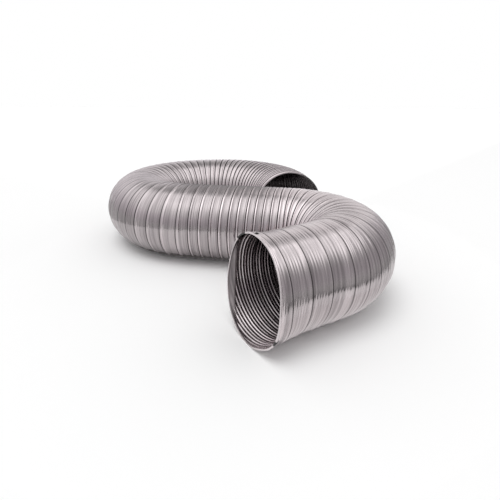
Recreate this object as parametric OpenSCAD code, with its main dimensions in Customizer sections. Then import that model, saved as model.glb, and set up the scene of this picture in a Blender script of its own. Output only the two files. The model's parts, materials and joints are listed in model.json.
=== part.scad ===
// Semi-rigid flexible air duct, laid on the floor in an S: one corrugated aluminium strip,
// wound round and folded into the turn beside it by a lock seam. Lengths are in millimetres.
// The route runs from the front mouth to the back mouth in sections that bend against each other.

/* [Duct] */
// Inside diameter, which slips over a collar
bore_d = 102; // [90:1:110]
// Thickness of the corrugated wall
wall_t = 1.2; // [0.8:0.1:2]
// Height of the folded lock seam above the wall
seam_h = 0.9; // [0.5:0.1:1.5]
// Share of a turn that the lock seam covers
seam_share = 0.26; // [0.16:0.02:0.4]
// Length of the plain turn at each mouth
end_turn_l = 20; // [12:1:30]

/* [Route] */
// Length of the straight front run, behind its end turn
front_run_l = 73; // [60:1:160]
// Centreline radius of the right bend
right_bend_r = 80; // [76:1:120]
// Angle of the right bend
right_bend_a = 136; // [90:1:150]
// Length of the straight middle run
middle_run_l = 137; // [90:1:240]
// Centreline radius of the left bend
left_bend_r = 115; // [90:1:130]
// Angle of the left bend
left_bend_a = 186; // [120:1:190]
// Centreline radius of the back curve
back_curve_r = 132; // [90:1:200]
// Angle of the back curve
back_curve_a = 66; // [20:1:80]

/* [Turns] */
// Turns of strip in each section of the front run
front_turns = 2; // [1:1:4]
// Turns of strip in each section of the right bend
right_bend_turns = 4; // [2:1:6]
// Turns of strip in each section of the middle run
middle_turns = 4; // [2:1:6]
// Turns of strip in each section of the left bend
left_bend_turns = 5; // [3:1:7]
// Turns of strip in each section of the back curve
back_curve_turns = 5; // [3:1:7]

/* [Fit] */
// Gap between neighbouring sections
section_gap = 0.3; // [0.2:0.1:0.6]
// Height above the floor at which the seams are cut flat
seam_clearance = 0.1; // [0.05:0.05:0.3]

/* [Hidden] */
sides = 12;
front_sections = 2;
right_sections = 4;
middle_sections = 3;
left_sections = 5;
back_sections = 3;

bore_r = bore_d / 2;
wall_r = bore_r + wall_t;
seam_r = wall_r + seam_h;
axis_z = wall_r;

// A place on the route is [x, y, heading]. ahead() goes on from it by a length while turning evenly.
function ahead(place, length, turn) =
    turn == 0
    ? [place[0] + length * cos(place[2]), place[1] + length * sin(place[2]), place[2]]
    : let (radius = length / turn * 180 / PI, heading = place[2] + turn)
      [place[0] + radius * (sin(heading) - sin(place[2])),
       place[1] - radius * (cos(heading) - cos(place[2])),
       heading];
function arc_length(radius, angle) = radius * angle * PI / 180;

// The middle run heads along -X, so the front run starts turned by the right bend's angle.
front_mouth = [0, 0, 180 - right_bend_a];
front_start = ahead(front_mouth, end_turn_l, 0);
right_start = ahead(front_start, front_run_l, 0);
right_l = arc_length(right_bend_r, right_bend_a);
middle_start = ahead(right_start, right_l, right_bend_a);
left_start = ahead(middle_start, middle_run_l, 0);
left_l = arc_length(left_bend_r, left_bend_a);
back_start = ahead(left_start, left_l, -left_bend_a);
back_l = arc_length(back_curve_r, back_curve_a);
back_end_start = ahead(back_start, back_l, -back_curve_a);
back_mouth = ahead(back_end_start, end_turn_l, 0);

// A section is [place where it starts, length, angle that it turns through, turns of strip].
function section(start, length, turn, count, turns, n) =
    [ahead(start, length * (n - 1) / count, turn * (n - 1) / count), length / count, turn / count, turns];
function front_section(n) = section(front_start, front_run_l, 0, front_sections, front_turns, n);
function right_section(n) = section(right_start, right_l, right_bend_a, right_sections, right_bend_turns, n);
function middle_section(n) = section(middle_start, middle_run_l, 0, middle_sections, middle_turns, n);
function left_section(n) = section(left_start, left_l, -left_bend_a, left_sections, left_bend_turns, n);
function back_section(n) = section(back_start, back_l, -back_curve_a, back_sections, back_curve_turns, n);

// The place at a share of the way along a section, inside the gaps at its ends
function along(sec, share) =
    let (s = section_gap / 2 + (sec[1] - section_gap) * share)
    ahead(sec[0], s, sec[2] * s / sec[1]);

// A ring of points square to the route, whose flats touch a circle of the given radius
function ring(place, radius) = [
    for (k = [0 : sides - 1])
    let (angle = (k + 0.5) * 360 / sides, reach = radius / cos(180 / sides))
    [place[0] - reach * cos(angle) * sin(place[2]),
     place[1] + reach * cos(angle) * cos(place[2]),
     axis_z + reach * sin(angle)]
];
function between(ring_a, ring_b, share) = ring_a * (1 - share) + ring_b * share;

function wall_rings(sec) =
    let (turns = sec[3], bore_bands = max(1, floor(turns / 2)))
    concat(
        [for (i = [0 : turns]) ring(along(sec, i / turns), wall_r)],
        [for (i = [bore_bands : -1 : 0]) ring(along(sec, i / bore_bands), bore_r)]
    );

// One turn's seam stands on the flat faces between two rings of the wall.
function seam_rings(sec, i) =
    let (
        rear = along(sec, i / sec[3]),
        front = along(sec, (i + 1) / sec[3]),
        foot_rear = ring(rear, wall_r),
        foot_front = ring(front, wall_r)
    )
    [
        between(foot_rear, foot_front, 0.5 - seam_share / 2),
        between(ring(rear, seam_r), ring(front, seam_r), 0.5),
        between(foot_rear, foot_front, 0.5 + seam_share / 2)
    ];

// The route's reach on the floor, which puts the origin at the middle of the base
all_sections = concat(
    [for (n = [1 : front_sections]) front_section(n)],
    [for (n = [1 : right_sections]) right_section(n)],
    [for (n = [1 : middle_sections]) middle_section(n)],
    [for (n = [1 : left_sections]) left_section(n)],
    [for (n = [1 : back_sections]) back_section(n)]
);
function mouth_edges(place, radius) = [
    for (side = [-1, 1])
    [place[0] - side * radius * sin(place[2]), place[1] + side * radius * cos(place[2]), axis_z]
];
edge_points = concat(
    [for (sec = all_sections) for (i = [0 : sec[3] - 1]) for (r = seam_rings(sec, i)) for (p = r) p],
    mouth_edges(front_mouth, wall_r),
    mouth_edges(back_mouth, wall_r)
);
edge_x = [for (p = edge_points) p[0]];
edge_y = [for (p = edge_points) p[1]];
base_centre = [(min(edge_x) + max(edge_x)) / 2, (min(edge_y) + max(edge_y)) / 2, 0];

// Skins a closed loop of rings, which starts along the outside in the route's direction.
module skin(rings) {
    count = len(rings);
    polyhedron(
        points = [for (r = rings) for (p = r) p],
        faces = [
            for (i = [0 : count - 1]) for (k = [0 : sides - 1])
            let (
                a = i * sides + k,
                b = i * sides + (k + 1) % sides,
                c = (i + 1) % count * sides + (k + 1) % sides,
                d = (i + 1) % count * sides + k
            )
            each [[a, d, c], [a, c, b]]
        ]
    );
}

module wall(sec) {
    translate(-base_centre)
    color("silver")
    skin(wall_rings(sec));
}

module seam(sec) {
    room = 2 * (front_run_l + middle_run_l + right_l + left_l + back_l);
    translate(-base_centre)
    color("gainsboro")
    difference() {
        for (i = [0 : sec[3] - 1]) skin(seam_rings(sec, i));
        translate([-room / 2, -room / 2, seam_clearance - room]) cube(room);
    }
}

// Puts a profile of [distance along the route, radius] points round the route at a place.
module turned(place, points) {
    translate([place[0], place[1], axis_z])
    rotate([0, 90, place[2]])
    rotate_extrude($fn = 96)
    polygon([for (p = points) [p[1], p[0]]]);
}

module end_wall(place, from, to) {
    translate(-base_centre)
    color("silver")
    turned(place, [[from, bore_r], [to, bore_r], [to, wall_r], [from, wall_r]]);
}

module end_seam(place, middle) {
    foot = seam_share * end_turn_l / 4;
    translate(-base_centre)
    color("gainsboro")
    difference() {
        turned(place, [[middle - foot, wall_r], [middle + foot, wall_r], [middle, seam_r]]);
        translate([place[0] - 2 * seam_r, place[1] - 2 * seam_r, seam_clearance - 4 * seam_r])
        cube(4 * seam_r);
    }
}

module front_end_turn() end_wall(front_mouth, 0, end_turn_l - section_gap / 2);
module front_end_seam() end_seam(front_mouth, end_turn_l * 0.55);
module back_end_turn() end_wall(back_end_start, section_gap / 2, end_turn_l);
module back_end_seam() end_seam(back_end_start, end_turn_l * 0.45);

front_end_turn();
front_end_seam();
for (n = [1 : front_sections]) {
    wall(front_section(n));
    seam(front_section(n));
}
for (n = [1 : right_sections]) {
    wall(right_section(n));
    seam(right_section(n));
}
for (n = [1 : middle_sections]) {
    wall(middle_section(n));
    seam(middle_section(n));
}
for (n = [1 : left_sections]) {
    wall(left_section(n));
    seam(left_section(n));
}
for (n = [1 : back_sections]) {
    wall(back_section(n));
    seam(back_section(n));
}
back_end_turn();
back_end_seam();
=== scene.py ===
import bpy
import bmesh
import json
import math
import numpy as np
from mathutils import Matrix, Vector


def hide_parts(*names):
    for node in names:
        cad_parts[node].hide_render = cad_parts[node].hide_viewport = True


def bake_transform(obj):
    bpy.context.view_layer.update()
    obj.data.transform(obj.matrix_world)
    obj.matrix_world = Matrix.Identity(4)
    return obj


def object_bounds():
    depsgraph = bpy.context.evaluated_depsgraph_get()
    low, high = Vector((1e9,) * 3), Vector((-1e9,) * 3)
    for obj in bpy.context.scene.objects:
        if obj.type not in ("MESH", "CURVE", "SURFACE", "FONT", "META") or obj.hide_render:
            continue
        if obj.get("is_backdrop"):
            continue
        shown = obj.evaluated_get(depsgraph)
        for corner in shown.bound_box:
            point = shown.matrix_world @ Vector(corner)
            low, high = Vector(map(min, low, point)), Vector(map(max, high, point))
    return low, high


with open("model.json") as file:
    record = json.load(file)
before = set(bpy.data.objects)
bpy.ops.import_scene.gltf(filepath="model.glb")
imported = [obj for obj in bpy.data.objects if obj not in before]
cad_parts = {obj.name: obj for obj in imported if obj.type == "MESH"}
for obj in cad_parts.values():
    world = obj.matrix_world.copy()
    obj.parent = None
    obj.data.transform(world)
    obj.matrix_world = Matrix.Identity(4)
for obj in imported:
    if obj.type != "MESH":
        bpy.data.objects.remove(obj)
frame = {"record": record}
cadLow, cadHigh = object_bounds()

# The duct lies along a route of straight and evenly bent stretches.
# Lengths are in metres, and turns in degrees with left as positive.
route = {
    "axisHeight": 0.0522,
    "stretches": [
        # name, sections, length, turn
        ("front_end", 1, 0.020, 0),
        ("front", 2, 0.073, 0),
        ("right_bend", 4, 0.080 * math.radians(136), 136),
        ("middle", 3, 0.137, 0),
        ("left_bend", 5, 0.115 * math.radians(186), -186),
        ("back", 3, 0.132 * math.radians(66), -66),
        ("back_end", 1, 0.020, 0),
    ],
    # distances of the grooves from the front mouth: on the front run's right side, then on the left side
    "frontGrooves": [0.0120, 0.0334, 0.0558, 0.0830, 0.0991, 0.1100, 0.1240, 0.1380, 0.1505, 0.1620, 0.1740,
                     0.1870, 0.2010, 0.2160, 0.2320, 0.2480, 0.2620],
    "turnsBetween": 2.5,
    "middleGrooves": [0.290, 0.2994, 0.3094, 0.3199, 0.3304, 0.3424, 0.3529, 0.3654, 0.3784, 0.3929, 0.4064,
                      0.4224, 0.4384, 0.4534, 0.4689, 0.4829, 0.4979],
    # and behind them the length of a turn, against the distance
    "backPitch": [(0.50, 0.0150), (0.70, 0.0150), (0.80, 0.0108), (0.97, 0.0104)],
    "evenOut": 0.006,         # length over which a change of pitch is spread
    # the front mouth's edge leans, and the mouth is a little narrow
    "mouthLeanUp": 0.119,
    "mouthLeanSide": 0.059,
    "mouthShift": 0.0016,
    "mouthSquash": 0.081,
    "squashLength": 0.11,
    # and it is knocked out of round: angle from the top, half width, how far out, how far along
    "bulges": [(34, 50, 0.0035, 0.022), (-120, 38, 0.0040, 0.045)],
    "floorGap": 0.00002,      # the foil's lowest height
}

frontMount = next(m for m in frame["record"]["mounts"] if m["name"] == "front_mouth")
outward = Vector(frontMount["axis"])
# the mount's place is half its length inside the mouth, and the length is in millimetres
mouthPoint = Vector(frontMount["pos_m"]) + outward * frontMount["dims"]["length_mm"] / 2000
mouthHeading = math.atan2(-outward.y, -outward.x)


def walk(x, y, heading, length, turn):
    # the place reached after a length that turns evenly, by radians
    if turn == 0:
        return x + length * math.cos(heading), y + length * math.sin(heading), heading
    radius, ahead = length / turn, heading + turn
    return (x + radius * (math.sin(ahead) - math.sin(heading)),
            y - radius * (math.cos(ahead) - math.cos(heading)), ahead)


bodies = []  # body, distance at its start, distance at its end
knots = []  # distance, place and curvature where each stretch starts
x, y, heading, distance = mouthPoint.x, mouthPoint.y, mouthHeading, 0.0
for name, sections, length, turn in route["stretches"]:
    knots.append((distance, x, y, heading, math.radians(turn) / length))
    for n in range(sections):
        body = name if sections == 1 else f"{name}_{n + 1}"
        bodies.append((body, distance + length * n / sections, distance + length * (n + 1) / sections))
    x, y, heading = walk(x, y, heading, length, math.radians(turn))
    distance += length
wholeLength = distance


def placesAt(distances):
    # x, y, heading and curvature of the route at an array of distances from the front mouth
    xs, ys, headings, curvatures = (np.zeros_like(distances) for _ in range(4))
    borders = [-np.inf] + [knot[0] for knot in knots[1:]] + [np.inf]
    for (start, startX, startY, startHeading, curvature), low, high in zip(knots, borders, borders[1:]):
        inside = (distances >= low) & (distances < high)
        run = distances[inside] - start
        if curvature == 0:
            xs[inside] = startX + run * math.cos(startHeading)
            ys[inside] = startY + run * math.sin(startHeading)
            headings[inside] = startHeading
        else:
            ahead = startHeading + curvature * run
            xs[inside] = startX + (np.sin(ahead) - math.sin(startHeading)) / curvature
            ys[inside] = startY - (np.cos(ahead) - math.cos(startHeading)) / curvature
            headings[inside] = ahead
        curvatures[inside] = curvature
    return xs, ys, headings, curvatures


# Turns of strip against distance. A groove is where turns less the share of a turn round the duct is whole.
hand = 1                      # the way that the strip is wound
tableStep, backStep = 0.0005, 0.002
margin = 0.08                 # how far the tables go on past both mouths
turnsAhead = 4                # and how many turns before the first groove
sideTurn = 0.25               # of a turn, from the top to the side where the grooves are measured
frontGrooves, middleGrooves = np.array(route["frontGrooves"]), np.array(route["middleGrooves"])
firstPitch = frontGrooves[1] - frontGrooves[0]
frontTurns = np.arange(len(frontGrooves)) - sideTurn * hand
middleTurns = frontTurns[-1] + route["turnsBetween"] + np.arange(len(middleGrooves))
backDistances = np.arange(middleGrooves[-1] + backStep, wholeLength + 2 * margin, backStep)
backTurns = middleTurns[-1] + np.cumsum(backStep / np.interp(backDistances, *zip(*route["backPitch"])))
distanceTable = np.arange(-margin, wholeLength + margin, tableStep)
turnTable = np.interp(
    distanceTable,
    np.concatenate([[frontGrooves[0] - turnsAhead * firstPitch], frontGrooves, middleGrooves, backDistances]),
    np.concatenate([[frontTurns[0] - turnsAhead], frontTurns, middleTurns, backTurns]))
window = round(route["evenOut"] / tableStep)
turnTable = np.convolve(turnTable, np.ones(window) / window, "valid")
distanceTable = distanceTable[: len(turnTable)] + (window - 1) / 2 * tableStep
pitchTable = tableStep / np.gradient(turnTable)
print("route laid,", round(wholeLength, 3), "m")

# The wound strip. A share of a turn runs from one groove to the next.
strip = {
    "around": 96,
    "cells": 48,          # across one turn of strip
    "mouthAround": 288,
    "wallRadius": 0.0522,
    "thickness": 0.0004,
    # the lock seam is a ridge, and how much of its height is left changes with the distance
    "ridgeStart": 0.73,
    "ridgeCrest": 0.80,
    "ridge": 0.0009,
    "ridgesLeft": [(0, 0.25), (0.12, 0.3), (0.15, 0.42), (0.24, 0.5), (0.29, 1.0), (0.43, 0.9), (0.50, 0.7),
                   (0.64, 0.7), (0.74, 0.9), (0.80, 1.0)],
    # the groove beside it
    "grooveWidth": 0.0012,
    "grooveShares": (0.03, 0.3),           # of a turn, at the least and at the most
    "grooveBottom": 0.3,                   # flat share of its half width
    # pairs: where the strip is stretched, and where it is pressed together
    "groove": (0.0008, 0.0011),
    "pillow": (0.0, 0.0009),
    "pitches": (0.022, 0.010),             # how long a turn is at those two
    # fine ribs in the flat band
    "bandStart": 0.04,
    "ribs": 5,
    "rib": 0.00009,
    "ribRoundness": 0.6,
    "ribEase": 12,                         # how steeply they start
    "mouthRib": 0.00016,                   # more of it near a mouth
    "mouthRibReach": 0.12,
    "innerRings": (1.0, 0.6, 0.85, 1.0, 0.55, 0.8),   # share of the full height of each ring in a turn
    "innerRing": 0.0008,
    "innerWidth": 0.30,                    # half of one, as a share of the way to the next
    "plainMouth": (0.0025, 0.005),
    # the plain band inside a mouth: least length, how much more, at which angle from the top,
    # and half the width of that
    "plainInside": (0.0022, 0.0078, 96, 72),
    "plainFade": (0.001, 0.004),           # how early the rings start, and how long they take
    "bead": 0.0009,
    "beadLength": 0.0022,
    "beadStart": 0.5,                      # square of the share of its height that it starts with
    "innerBead": 0.0006,
    # cuts in the front edge: angle from the top, half width, start and end from the edge
    "cuts": [(8.0, 2.4, 0.0028, 0.0058), (-122.5, 2.6, 0.0010, 0.0030)],
    "rimNormals": (0.8, 0.6),              # shares of the flat rim and of the wall, which rounds the edge
    "normalStep": 0.004,
}
unitWall = 0.1                # thickness while the strip is wound on a radius of 1
weldReach, cutReach = 1e-5, 1e-6


def smooth(t):
    t = np.clip(t, 0, 1)
    return t * t * (3 - 2 * t)


def readAlong(pairs, distances):
    # reads pairs of distance and value at an array of distances
    return np.interp(distances, *zip(*pairs))


def turnedAway(angles, way):
    # degrees between angles round the duct and one way, which counts from the top
    return np.abs((np.degrees(angles) - way + 180) % 360 - 180)


def frontEdge(angles):
    # distance of the front mouth's edge at an angle round the duct
    lean = route["mouthLeanSide"] * np.sin(angles) + route["mouthLeanUp"] * np.cos(angles)
    return route["mouthShift"] + strip["wallRadius"] * lean


def inGroove(phase, pitches):
    # 1 at the bottom of a groove, which is as wide in millimetres wherever it is
    half = np.clip(strip["grooveWidth"] / pitches, *strip["grooveShares"]) / 2
    return 1 - smooth((np.minimum(phase, 1 - phase) - half * strip["grooveBottom"]) / half)


def plainInsideAt(angles):
    # length of the plain band inside the front mouth
    plain, more, way, half = strip["plainInside"]
    return plain + more * smooth(1 - turnedAway(angles, way) / half)


def outsideAt(phase, toEdge, pitches, distances):
    # height of the outer side over the wall radius
    stretchedPitch, pressedPitch = strip["pitches"]
    pressed = smooth((stretchedPitch - pitches) / (stretchedPitch - pressedPitch))

    def size(name):
        return strip[name][0] + (strip[name][1] - strip[name][0]) * pressed

    band = np.clip((phase - strip["bandStart"]) / (strip["ridgeStart"] - strip["bandStart"]), 0, 1)
    ribs = (0.5 - 0.5 * np.cos(2 * np.pi * strip["ribs"] * band)) ** strip["ribRoundness"] - 1
    rib = strip["rib"] + strip["mouthRib"] * smooth(1 - toEdge / strip["mouthRibReach"])
    ribbed = rib * ribs * smooth(band * strip["ribEase"]) * (phase < strip["ridgeStart"])
    crown = size("pillow") * 4 * band * (1 - band)
    ridge = strip["ridge"] * readAlong(strip["ridgesLeft"], distances)
    rise = smooth((phase - strip["ridgeStart"]) / (strip["ridgeCrest"] - strip["ridgeStart"]))
    groove = inGroove(phase, pitches)
    height = np.minimum(ribbed + crown + ridge * rise, np.maximum(ridge, crown)) * (1 - groove)
    height -= size("groove") * groove
    start, end = strip["plainMouth"]
    beadShare = np.clip(toEdge / strip["beadLength"], 0, 1)
    rounded = np.sqrt(np.maximum(1 - (2 * beadShare - 1) ** 2, strip["beadStart"]))
    bead = strip["bead"] * np.where(beadShare < 0.5, rounded, 1 - smooth(2 * beadShare - 1))
    return height * smooth((toEdge - start) / (end - start)) + bead


def insideAt(phase, toEdge, angles):
    # height of the inner side over the wall radius
    heights = np.array(strip["innerRings"])
    ring = np.round(phase * len(heights)).astype(int)
    fromRing = np.abs(phase * len(heights) - ring)
    rings = -strip["innerRing"] * heights[ring % len(heights)] * (1 - smooth(fromRing / strip["innerWidth"]))
    early, length = strip["plainFade"]
    rings *= smooth((toEdge - plainInsideAt(angles) + early) / length)
    rings -= strip["innerBead"] * (1 - smooth(toEdge / strip["beadLength"]))
    return np.maximum(rings, -strip["innerRing"]) - strip["thickness"]


def surfaceAt(turns, angles, inner):
    # points of the duct's wall at arrays of turn and angle round the route, 0 at the top
    distances = np.interp(turns, turnTable, distanceTable)
    phase = np.mod(turns - hand * angles / (2 * np.pi), 1.0)
    xs, ys, headings, curvatures = placesAt(distances)
    squeezed = curvatures * strip["wallRadius"] * np.sin(angles)
    pitches = np.interp(distances, distanceTable, pitchTable) * (1 - squeezed)
    fromFront = distances - frontEdge(angles)
    toEdge = np.maximum(np.minimum(fromFront, wholeLength - distances), 0)
    radius = strip["wallRadius"] + np.where(inner > 0, insideAt(phase, toEdge, angles),
                                            outsideAt(phase, toEdge, pitches, distances))
    for way, half, out, length in route["bulges"]:
        radius += out * smooth(1 - turnedAway(angles, way) / half) * smooth(1 - fromFront / length)
    squash = route["mouthSquash"] * smooth(1 - distances / route["squashLength"])
    side = radius * np.sin(angles) * (1 - squash)
    heights = np.clip(route["axisHeight"] + radius * np.cos(angles), route["floorGap"], cadHigh[2])
    points = np.stack([xs - side * np.sin(headings), ys + side * np.cos(headings), heights], 1)
    return points, distances, headings, paintedLightAndDullAt(phase, pitches, squeezed, distances, angles, inner)


def normalsAt(turns, angles, inner, points, distances):
    # from the surface itself, so that neighbouring pieces shade as one
    step = strip["normalStep"]
    alongWay = surfaceAt(turns + step, angles, inner)[0] - surfaceAt(turns - step, angles, inner)[0]
    roundWay = surfaceAt(turns, angles + step, inner)[0] - surfaceAt(turns, angles - step, inner)[0]
    normals = np.cross(roundWay, alongWay)
    outwards = points - np.stack([*placesAt(distances)[:2], np.full(len(turns), route["axisHeight"])], 1)
    normals *= (np.sign((normals * outwards).sum(1)) * (1 - 2 * inner))[:, None]
    return normals / np.maximum(np.linalg.norm(normals, axis=1), 1e-12)[:, None]


def windStrip(fromTurn, toTurn, atMouth):
    # a straight length of strip wound on a radius of 1, one unit along X for each turn
    bm = bmesh.new()
    first = math.floor(fromTurn) - 2   # whole turns go past both ends, which are then cut
    count = math.ceil(toTurn) - first + 1
    ends = [bm.verts.new((first + n, 0, 1)) for n in (0, 1)]
    edge = bm.edges.new(ends)
    bmesh.ops.subdivide_edges(bm, edges=[edge], cuts=strip["cells"] - 1)
    around = strip["mouthAround"] if atMouth else strip["around"]
    bmesh.ops.spin(bm, geom=bm.verts[:] + bm.edges[:], cent=(0, 0, 0), axis=(1, 0, 0),
                   dvec=(1 / around, 0, 0), angle=-2 * math.pi * hand, steps=around)
    oneTurn = bm.verts[:] + bm.edges[:] + bm.faces[:]
    for n in range(1, count):
        copied = bmesh.ops.duplicate(bm, geom=oneTurn)["geom"]
        bmesh.ops.translate(bm, verts=[v for v in copied if isinstance(v, bmesh.types.BMVert)], vec=(n, 0, 0))
    bmesh.ops.remove_doubles(bm, verts=[v for v in bm.verts if v.is_boundary], dist=weldReach)
    lean = strip["wallRadius"] / firstPitch if atMouth else 0
    mouthWay = (1, -route["mouthLeanSide"] * lean, -route["mouthLeanUp"] * lean)
    for at, way, outer in ((toTurn, (1, 0, 0), True), (fromTurn, mouthWay, False)):
        bmesh.ops.bisect_plane(bm, geom=bm.verts[:] + bm.edges[:] + bm.faces[:], dist=cutReach,
                               plane_co=(at, 0, 0), plane_no=way, clear_outer=outer, clear_inner=not outer)
    if atMouth:
        cutMouth(bm, fromTurn)
    bmesh.ops.recalc_face_normals(bm, faces=bm.faces[:])
    bmesh.ops.solidify(bm, geom=bm.faces[:], thickness=unitWall)
    return bm


def cutMouth(bm, fromTurn):
    # takes out the faces of the cuts in the front edge
    gone = []
    for face in bm.faces:
        middle = face.calc_center_median()
        angle = math.atan2(middle.y, middle.z)
        fromEdge = (middle.x - fromTurn) * firstPitch + route["mouthShift"] - frontEdge(angle)
        for way, half, start, end in strip["cuts"]:
            if abs(math.degrees(angle) - way) < half and start < fromEdge < end:
                gone.append(face)
    bmesh.ops.delete(bm, geom=gone, context="FACES")


def read(items, field, width, kind=float):
    # a field of all the vertices, loops or faces of a mesh
    values = np.zeros(len(items) * width, kind)
    items.foreach_get(field, values)
    return values.reshape(-1, width) if width > 1 else values


def layStrip(name, fromTurn, toTurn, atMouth):
    # winds a length of strip, then lays it along the route
    bm = windStrip(fromTurn, toTurn, atMouth)
    mesh = bpy.data.meshes.new(name)
    bm.to_mesh(mesh)
    bm.free()
    wound = read(mesh.vertices, "co", 3)
    turns, angles = wound[:, 0], np.arctan2(wound[:, 1], wound[:, 2])
    # 1 on the inner side, which solidify has put inside the wound one
    inner = (np.hypot(wound[:, 1], wound[:, 2]) < 1 - unitWall / 2).astype(float)
    points, distances, headings, (levels, dull) = surfaceAt(turns, angles, inner)
    mesh.vertices.foreach_set("co", points.astype(np.float32).ravel())
    mesh.update()

    normals = normalsAt(turns, angles, inner, points, distances)
    loopVerts = read(mesh.loops, "vertex_index", 1, np.int32)
    sizes = read(mesh.polygons, "loop_total", 1, np.int32)
    faceOfLoop = np.repeat(np.arange(len(sizes)), sizes)
    starts = np.concatenate([[0], np.cumsum(sizes)[:-1]])
    innerShare = np.add.reduceat(inner[loopVerts], starts) / sizes
    # the edge of a mouth is rounded, so its normals lean half way out
    rim = (innerShare > 0) & (innerShare < 1)
    faceShare, wallShare = strip["rimNormals"]
    rimNormals = read(mesh.polygons, "normal", 3)[faceOfLoop] * faceShare + normals[loopVerts] * wallShare
    mesh.polygons.foreach_set("use_smooth", np.ones(len(sizes), bool))
    mesh.normals_split_custom_set(np.where(rim[faceOfLoop][:, None], rimNormals, normals[loopVerts]))

    # UV: share of a turn round the duct, and turns of strip, which are whole at each groove
    loopAngles = angles[loopVerts]
    lowest = np.minimum.reduceat(loopAngles, starts)[faceOfLoop]
    highest = np.maximum.reduceat(loopAngles, starts)[faceOfLoop]
    wrapped = (highest - lowest > math.pi) & (loopAngles < 0)
    share = (loopAngles + wrapped * 2 * math.pi) / (2 * np.pi)
    uv = np.stack([share, turns[loopVerts] - hand * share], 1)
    mesh.uv_layers.new(name="stripUV").data.foreach_set("uv", uv.astype(np.float32).ravel())
    way = np.stack([np.cos(headings), np.sin(headings), np.zeros(len(headings))], 1).astype(np.float32)
    mesh.attributes.new("alongDuct", "FLOAT_VECTOR", "POINT").data.foreach_set("vector", way.ravel())
    # the level attribute carries the painted light and shade
    for attribute, values in (("level", levels), ("dull", dull)):
        mesh.attributes.new(attribute, "FLOAT", "POINT").data.foreach_set("value", values.astype(np.float32))
    piece = bpy.data.objects.new(mesh.name, mesh)
    bpy.context.collection.objects.link(piece)
    return piece


# The foil's finish
metal = {
    "colour": (0.80, 0.727, 0.742),
    "shade": (0.70, 0.633, 0.648),
    "shadeRange": (0.3, 0.62),
    "roughness": (0.16, 0.29),
    "roughRange": (0.3, 0.7),
    "anisotropy": 0.7,
    # patterns on the strip: how often round the duct and across a turn of strip, and their detail
    "hairlines": ((2, 8, 1), 3.0),
    "blotches": ((7, 1.3, 1), 4.0),
    "bump": 0.00008,
    "bumpStrength": 0.6,
    "hairShade": 0.64,
    "hairRange": (0.35, 0.60),
    "dullMetallic": 0.35,
    "levels": {
        # how bright the foil is painted, mostly as painted light and shade: the flat band, a ridge with a
        # painted highlight, a groove with painted shade, the mouth's edge with a painted highlight
        "band": 0.57, "ridge": 0.92, "groove": 0.12, "edge": 0.96,
        "most": 1.1,
        # pairs of distance from the front mouth and value, here the level of the inner side, painted shade
        # that darkens it further into the duct
        "inside": [(0.010, 0.92), (0.03, 0.64), (0.09, 0.28)],
        # where a ridge gets a painted highlight, in shares of a turn with the length of both fades, and how
        # much
        "rubbedFrom": (0.775, 0.05), "rubbedTo": (0.945, 0.03),
        "rubbed": [(0.12, 0), (0.15, 0.2), (0.24, 0.33), (0.29, 1.0), (0.41, 0.9), (0.45, 0.45), (0.49, 0),
                   (0.64, 0), (0.74, 0.9)],
        # half the width of the painted shade in a groove, how dark it is, and how bright each stretch of the
        # foil is painted
        "grooveHalf": [(0, 0.0004), (0.09, 0.0005), (0.12, 0.0008), (0.26, 0.0007), (0.30, 0.0004),
                       (0.42, 0.0005), (0.47, 0.0013), (0.80, 0.0014)],
        "grooveDark": [(0, 1.0), (0.27, 1.0), (0.31, 0.55), (0.40, 0.6), (0.46, 1.0), (0.65, 1.0),
                       (0.75, 0.85)],
        # painted light and shade that differ from stretch to stretch
        "alongRoute": [(0, 1.35), (0.09, 1.32), (0.13, 1.20), (0.21, 1.20), (0.25, 1.35), (0.28, 1.42),
                       (0.31, 1.12), (0.50, 1.12), (0.60, 1.05), (0.70, 1.15), (0.76, 1.15), (0.82, 1.25)],
        "grooveShare": 0.08,            # the most of a turn that the half width takes
        "grooveFade": (0.0004, 0.08),   # length of its soft edge, and the most of a turn that it takes
        # painted light: a strip that is squeezed into a bend is painted brighter: from which share, and how
        # much
        "squeezed": (0.15, 0.8),
        "edgeBand": (0.004, 0.007),     # where the painted highlight at the edge starts to fade, and where it ends
        "rim": (0.0006, 0.0014),        # length over which the matt rim, with its painted highlight, fades outside the mouth and inside
        "rimFull": 0.4,                 # share of that before it starts to fade
        "dullBand": (0.002, 0.004),     # fade of the dull band inside the mouth, and the length that shows it
        # painted shadows on the front edge: angle from the top, half width, start and end from the edge,
        # level
        "marks": [(33, 8, -0.001, 0.0045, 0.02), (8, 2.2, 0.002, 0.006, 0.05), (-120, 2.5, 0.0, 0.004, 0.03)],
        "markFade": 1.5,
    },
}


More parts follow.
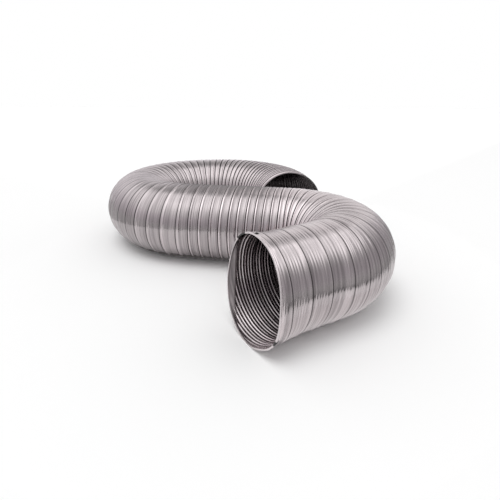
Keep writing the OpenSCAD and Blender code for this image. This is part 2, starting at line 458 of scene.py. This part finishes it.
def paintedLightAndDullAt(phase, pitches, squeezed, distances, angles, inner):
    # how bright the foil is painted, which is painted light and shade, and how dull it is
    look = metal["levels"]
    (highlightStart, startFade), (highlightEnd, endFade) = look["rubbedFrom"], look["rubbedTo"]
    # painted highlight along the seam ridge
    rubbed = smooth((phase - highlightStart) / startFade) * (1 - smooth((phase - highlightEnd) / endFade))
    level = look["band"] + (look["ridge"] - look["band"]) * rubbed * readAlong(look["rubbed"], distances)
    half = np.minimum(readAlong(look["grooveHalf"], distances), look["grooveShare"] * pitches)
    fade = np.minimum(look["grooveFade"][0], look["grooveFade"][1] * pitches)
    # painted shade in the groove
    grooveShade = 1 - smooth((np.minimum(phase, 1 - phase) * pitches - half) / fade)
    level = level + (look["groove"] - level) * grooveShade * readAlong(look["grooveDark"], distances)
    least, more = look["squeezed"]
    # painted light: brighter or darker by stretch, and brighter where the strip is squeezed into a bend
    level *= readAlong(look["alongRoute"], distances) * (1 + more * np.clip(squeezed - least, 0, 1))
    fromMouth = np.maximum(distances - frontEdge(angles), 0)
    edgeStart, edgeEnd = look["edgeBand"]
    # painted highlight on the band at the front mouth
    level += (look["edge"] - level) * smooth((edgeEnd - fromMouth) / (edgeEnd - edgeStart))
    # painted shade inside the duct, darker away from the mouth
    level = np.where(inner > 0, readAlong(look["inside"], distances), np.minimum(level, look["most"]))
    # painted highlight on the matt rim
    rim = smooth(1 + look["rimFull"] - fromMouth / np.where(inner > 0, look["rim"][1], look["rim"][0]))
    level += (look["edge"] - level) * rim
    # painted shadows on the front edge
    for way, half, start, end, shadowLevel in look["marks"]:
        there = smooth((half - turnedAway(angles, way)) / look["markFade"] + 1)
        level += (shadowLevel - level) * there * (fromMouth > start) * (fromMouth < end)
    plain = plainInsideAt(angles)
    dullFade, least = look["dullBand"]
    dull = inner * smooth((plain - fromMouth) / dullFade) * smooth((plain - least) / least)
    return level, np.maximum(dull, rim)


def addNode(tree, kind, inputs, **settings):
    # a node whose inputs are given as numbers or as the sockets that feed them
    node = tree.nodes.new(kind)
    for name, value in settings.items():
        setattr(node, name, value)
    for name, value in inputs.items():
        if isinstance(value, bpy.types.NodeSocket):
            tree.links.new(value, node.inputs[name])
        else:
            node.inputs[name].default_value = value
    return node


# the next three give back a socket
def addRange(tree, source, fromLow, fromHigh, toLow=0.0, toHigh=1.0, **settings):
    inputs = {"Value": source, "From Min": fromLow, "From Max": fromHigh, "To Min": toLow, "To Max": toHigh}
    return addNode(tree, "ShaderNodeMapRange", inputs, **settings).outputs["Result"]


def addMix(tree, first, second, factor, blend="MIX"):
    inputs = {"A": first, "B": second, "Factor": factor}
    return addNode(tree, "ShaderNodeMix", inputs, data_type="RGBA", blend_type=blend).outputs["Result"]


def addNoise(tree, uv, scale, detail):
    mapping = addNode(tree, "ShaderNodeMapping", {"Vector": uv, "Scale": scale})
    inputs = {"Vector": mapping.outputs["Vector"], "Scale": 1.0, "Detail": detail}
    return addNode(tree, "ShaderNodeTexNoise", inputs).outputs["Fac"]


def makeMetal(name, look):
    material = bpy.data.materials.new(name)
    material.use_nodes = True
    tree = material.node_tree
    shader = tree.nodes["Principled BSDF"]
    shader.inputs["Anisotropic"].default_value = look["anisotropy"]
    uv = addNode(tree, "ShaderNodeUVMap", {}, uv_map="stripUV").outputs["UV"]
    along, level, dull = (addNode(tree, "ShaderNodeAttribute", {}, attribute_name=attribute)
                          for attribute in ("alongDuct", "level", "dull"))
    hair = addNoise(tree, uv, *look["hairlines"])
    blotch = addNoise(tree, uv, *look["blotches"])
    spread = addRange(tree, blotch, *look["shadeRange"])
    fine = addRange(tree, hair, *look["hairRange"], look["hairShade"])
    tone = addMix(tree, (*look["shade"], 1), (*look["colour"], 1), spread)
    # the level attribute paints light and shade into the base colour
    tone = addMix(tree, tone, level.outputs["Fac"], 1.0, "MULTIPLY")
    tone = addMix(tree, tone, fine, 1.0, "MULTIPLY")
    raised = {"Strength": look["bumpStrength"], "Distance": look["bump"], "Height": hair}
    bump = addNode(tree, "ShaderNodeBump", raised)
    feeds = {
        "Base Color": tone,
        "Metallic": addRange(tree, dull.outputs["Fac"], 0.0, 1.0, 1.0, look["dullMetallic"]),
        "Roughness": addRange(tree, hair, *look["roughRange"], *look["roughness"]),
        "Normal": bump.outputs["Normal"],
        "Tangent": along.outputs["Vector"],
    }
    for socket, source in feeds.items():
        tree.links.new(source, shader.inputs[socket])
    return material


foil = makeMetal("corrugatedFoil", metal)
print("finishes ready")

# One piece for each joint, cut where its two bodies' middles are. The cuts are closest on the inside of a
# bend.
middles = [route["mouthShift"]] + [(a + b) / 2 for _, a, b in bodies[1:-1]] + [wholeLength]
cutTurns = np.interp(middles, distanceTable, turnTable)


for n in range(len(bodies) - 1):
    (bodyA, _, joined), (bodyB, _, _) = bodies[n], bodies[n + 1]
    piece = layStrip(f"wound_strip_{bodyA}", cutTurns[n], cutTurns[n + 1], n == 0)
    piece.data.materials.append(foil)
    xs, ys, headings, _ = placesAt(np.array([joined]))
    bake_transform(piece)
    nodes = list(frame["record"]["behaviour"]["bodies"][bodyA])
    if n == len(bodies) - 2:
        nodes += frame["record"]["behaviour"]["bodies"][bodyB]
    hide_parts(*nodes)
print("strip wound in", len(bodies) - 1, "pieces")

# Floor, light and what the metal mirrors. The cards and bands show in the metal only.
studio = {
    "floorColour": (0.97, 0.97, 0.97),
    "floorSize": 14.0,
    "roughness": 0.9,         # of the floor
    # cards on the floor round an oval hole: name, azimuths from and to (0 is away from the camera, 90 right),
    # width, level, height
    "cardCentre": (0.04, 0.0),
    "cardHole": (0.34, 0.41),
    "cardStep": 5,            # degrees
    "cards": [("cardLeft", -135, -60, 6, 0.58, 0.0003), ("cardFront", 160, 225, 6, 0.48, 0.0003),
              ("cardRight", 30, 160, 6, 0.42, 0.0003), ("cardEdge", 55, 170, 0.05, 0.03, 0.0006)],
    # bands on the floor beside the route: name, distances from and to, sides from and to with left as
    # positive, level
    "bandHeight": 0.0004,
    "bands": [("contactBand", 0.27, 0.66, -0.020, 0.030, 0.11),      # the shade under the duct
              ("brightBand", 0.02, 0.24, -0.110, -0.030, 0.85)],     # the floor beside the front run
    # upright cards: name, x from and to, y, heights from and to, level, and whether it fades
    "uprights": [("backLight", 0.30, 0.0, 0.12, 0.12, 0.42, 1.12, False),
                 ("topCard", 0.107, -0.125, 0.0335, 0.098, 0.210, 0.26, True)],    # it darkens the tops
    "glowTint": (1.0, 0.98, 0.98),
    "columns": 48,            # in a band or an upright card
    "fadeEnds": 0.3,          # share of a fading card's length
    "fadeTop": 0.1,           # what is left at its upper edge
    "fill": 0.74,             # light from the room on plain surfaces
    "sun": 1.0,
    "sunAngle": 40,
    "sunLean": (12, -8),
    # what the metal sees of the room above the floor, every 10 degrees up from the horizon
    "room": {
        "front": (0.55, 0.57, 0.68, 0.84, 1.05, 1.45, 1.85, 1.90, 2.20, 2.0),
        "right": (0.47, 0.44, 0.43, 0.50, 1.00, 1.85, 1.50, 1.05, 1.35, 2.0),
        "left": (0.66, 0.78, 0.98, 1.26, 1.36, 1.50, 1.60, 1.30, 1.60, 2.0),
        "back": (1.00, 1.05, 1.05, 0.92, 0.70, 0.52, 0.42, 0.60, 1.25, 2.0),
    },
    "lowGreen": 0.965,        # share of green in the lowest three
    # the sides that are mixed over the front: azimuth, and the cosines between which each fades in
    "sides": {"right": (90, 0.35, 0.95), "left": (-90, 0.35, 0.95), "back": (-15, 0.6, 0.95)},
}


def addStage(name, bm, colour, glow=False):
    # turns a bmesh into a plain or glowing object that isn't part of the duct
    mesh = bpy.data.meshes.new(name)
    bm.to_mesh(mesh)
    bm.free()
    obj = bpy.data.objects.new(name, mesh)
    bpy.context.collection.objects.link(obj)
    obj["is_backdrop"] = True
    material = bpy.data.materials.new(name)
    material.use_nodes = True
    shader = material.node_tree.nodes["Principled BSDF"]
    shader.inputs["Roughness"].default_value = studio["roughness"]
    shader.inputs["Base Color"].default_value = (0, 0, 0, 1) if glow else (*colour, 1)
    if glow:
        shader.inputs["Emission Color"].default_value = (*colour, 1)
        shader.inputs["Emission Strength"].default_value = 1.0
    mesh.materials.append(material)
    return obj


def addGlow(name, pairs, colour):
    # a glowing surface over pairs of points, seen by the metal only
    bm = bmesh.new()
    rows = [bm.edges.new([bm.verts.new(low), bm.verts.new(high)]) for low, high in pairs]
    bmesh.ops.bridge_loops(bm, edges=rows)
    glow = addStage(name, bm, colour, True)
    glow.visible_camera = False
    glow.visible_diffuse = False
    glow.visible_transmission = False
    glow.visible_shadow = False
    return glow


def aroundHole(fromAzimuth, toAzimuth, width, height):
    # pairs of points on the hole's edge and outside it
    steps = round((toAzimuth - fromAzimuth) / studio["cardStep"])
    (cx, cy), (rx, ry) = studio["cardCentre"], studio["cardHole"]
    azimuths = [math.radians(fromAzimuth + (toAzimuth - fromAzimuth) * n / steps) for n in range(steps + 1)]
    return [[(cx + math.sin(a) * (rx + grow), cy + math.cos(a) * (ry + grow), height) for grow in (0, width)]
            for a in azimuths]


def besideRoute(start, end, nearSide, farSide):
    # pairs of points on the floor, at two distances to the route's left
    xs, ys, headings, _ = placesAt(np.linspace(start, end, studio["columns"]))
    height = studio["bandHeight"]
    return [[(x - side * math.sin(h), y + side * math.cos(h), height) for side in (nearSide, farSide)]
            for x, y, h in zip(xs, ys, headings)]


def fade(card, columns):
    # lets a card fade out towards its ends and its upper edge, and be clear from behind
    along = np.linspace(0, 1, columns)
    ends = smooth(along / studio["fadeEnds"]) * smooth((1 - along) / studio["fadeEnds"])
    strength = np.stack([ends, studio["fadeTop"] * ends], 1).ravel().astype(np.float32)
    card.data.attributes.new("strength", "FLOAT", "POINT").data.foreach_set("value", strength)
    tree = card.data.materials[0].node_tree
    faded = addNode(tree, "ShaderNodeAttribute", {}, attribute_name="strength").outputs["Fac"]
    backfacing = addNode(tree, "ShaderNodeNewGeometry", {}).outputs["Backfacing"]
    shown = addNode(tree, "ShaderNodeMath", {}, operation="SUBTRACT", use_clamp=True)
    tree.links.new(faded, shown.inputs[0])
    tree.links.new(backfacing, shown.inputs[1])
    either = addNode(tree, "ShaderNodeMixShader", {"Fac": shown.outputs["Value"]})
    tree.links.new(addNode(tree, "ShaderNodeBsdfTransparent", {}).outputs["BSDF"], either.inputs[1])
    tree.links.new(tree.nodes["Principled BSDF"].outputs["BSDF"], either.inputs[2])
    tree.links.new(either.outputs["Shader"], tree.nodes["Material Output"].inputs["Surface"])


bm = bmesh.new()
bmesh.ops.create_grid(bm, x_segments=1, y_segments=1, size=studio["floorSize"] / 2)
addStage("floor", bm, studio["floorColour"])
for name, fromAzimuth, toAzimuth, width, level, height in studio["cards"]:
    addGlow(name, aroundHole(fromAzimuth, toAzimuth, width, height), (level, level, level))
for name, start, end, nearSide, farSide, level in studio["bands"]:
    addGlow(name, besideRoute(start, end, nearSide, farSide), [level * tint for tint in studio["glowTint"]])
for name, fromX, toX, y, low, high, level, fading in studio["uprights"]:
    pairs = [[(x, y, low), (x, y, high)] for x in np.linspace(fromX, toX, studio["columns"])]
    card = addGlow(name, pairs, [level * tint for tint in studio["glowTint"]])
    if fading:
        fade(card, len(pairs))

world = bpy.data.worlds.new("studio")
bpy.context.scene.world = world
world.use_nodes = True
tree = world.node_tree
direction = addNode(tree, "ShaderNodeTexCoord", {}).outputs["Generated"]
flat = addNode(tree, "ShaderNodeVectorMath", {}, operation="MULTIPLY")
flat.inputs[1].default_value = (1, 1, 0)
tree.links.new(direction, flat.inputs[0])
compass = addNode(tree, "ShaderNodeVectorMath", {"Vector": flat.outputs["Vector"]}, operation="NORMALIZE")
split = addNode(tree, "ShaderNodeSeparateXYZ", {"Vector": direction})
elevation = addNode(tree, "ShaderNodeMath", {"Value": split.outputs["Z"]}, operation="ARCSINE")
upShare = addRange(tree, elevation.outputs["Value"], 0.0, math.pi / 2)


def addRamp(levels):
    ramp = addNode(tree, "ShaderNodeValToRGB", {"Fac": upShare})
    elements = ramp.color_ramp.elements
    for n, level in enumerate(levels):
        position = n / (len(levels) - 1)
        if 0 < n < len(levels) - 1:
            element = elements.new(position)
        else:
            element = elements[0 if n == 0 else -1]
            element.position = position
        element.color = (level, level * (studio["lowGreen"] if n < 3 else 1), level, 1)
    return ramp.outputs["Color"]


def addSide(azimuth, start, end):
    # 1 towards an azimuth and 0 away from it, between two cosines
    toward = addNode(tree, "ShaderNodeVectorMath", {}, operation="DOT_PRODUCT")
    toward.inputs[1].default_value = (math.sin(math.radians(azimuth)), math.cos(math.radians(azimuth)), 0)
    tree.links.new(compass.outputs["Vector"], toward.inputs[0])
    return addRange(tree, toward.outputs["Value"], start, end, interpolation_type="SMOOTHSTEP")


# the metal mirrors the room, everything else is lit evenly, and the camera sees white
mirrored = addRamp(studio["room"]["front"])
for side, (azimuth, start, end) in studio["sides"].items():
    mirrored = addMix(tree, mirrored, addRamp(studio["room"][side]), addSide(azimuth, start, end))
rays = addNode(tree, "ShaderNodeLightPath", {})
seen = addMix(tree, (*[studio["fill"]] * 3, 1), mirrored, rays.outputs["Is Glossy Ray"])
shown = addMix(tree, seen, (1, 1, 1, 1), rays.outputs["Is Camera Ray"])
tree.links.new(shown, tree.nodes["Background"].inputs["Color"])

lamp = bpy.data.lights.new("overhead", "SUN")
lamp.energy = studio["sun"]
lamp.angle = math.radians(studio["sunAngle"])
overhead = bpy.data.objects.new("overhead", lamp)
overhead.rotation_euler = (math.radians(studio["sunLean"][0]), math.radians(studio["sunLean"][1]), 0)
overhead.visible_glossy = False
bpy.context.collection.objects.link(overhead)

camera = {
    "place": (0.138058, -0.547742, 0.223691),
    "elevation": 19.085,      # degrees that it looks down
    "yaw": -10.408,           # and degrees that it is turned to the right
    "focalPixels": 401.708,
    "shiftPixels": (3.943, -16.397),
    "imageSize": 500,
    "sensor": 36,
    "nearest": 0.01,
}
lens = bpy.data.cameras.new("camera")
lens.sensor_width = camera["sensor"]
lens.lens = camera["focalPixels"] / camera["imageSize"] * camera["sensor"]
lens.shift_x = -camera["shiftPixels"][0] / camera["imageSize"]
lens.shift_y = camera["shiftPixels"][1] / camera["imageSize"]
lens.clip_start = camera["nearest"]
viewer = bpy.data.objects.new("camera", lens)
viewer.location = camera["place"]
viewer.rotation_euler = (math.radians(90 - camera["elevation"]), 0, math.radians(-camera["yaw"]))
bpy.context.collection.objects.link(viewer)
bpy.context.scene.camera = viewer
bpy.context.scene.view_settings.view_transform = "Standard"
print("studio ready")

low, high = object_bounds()
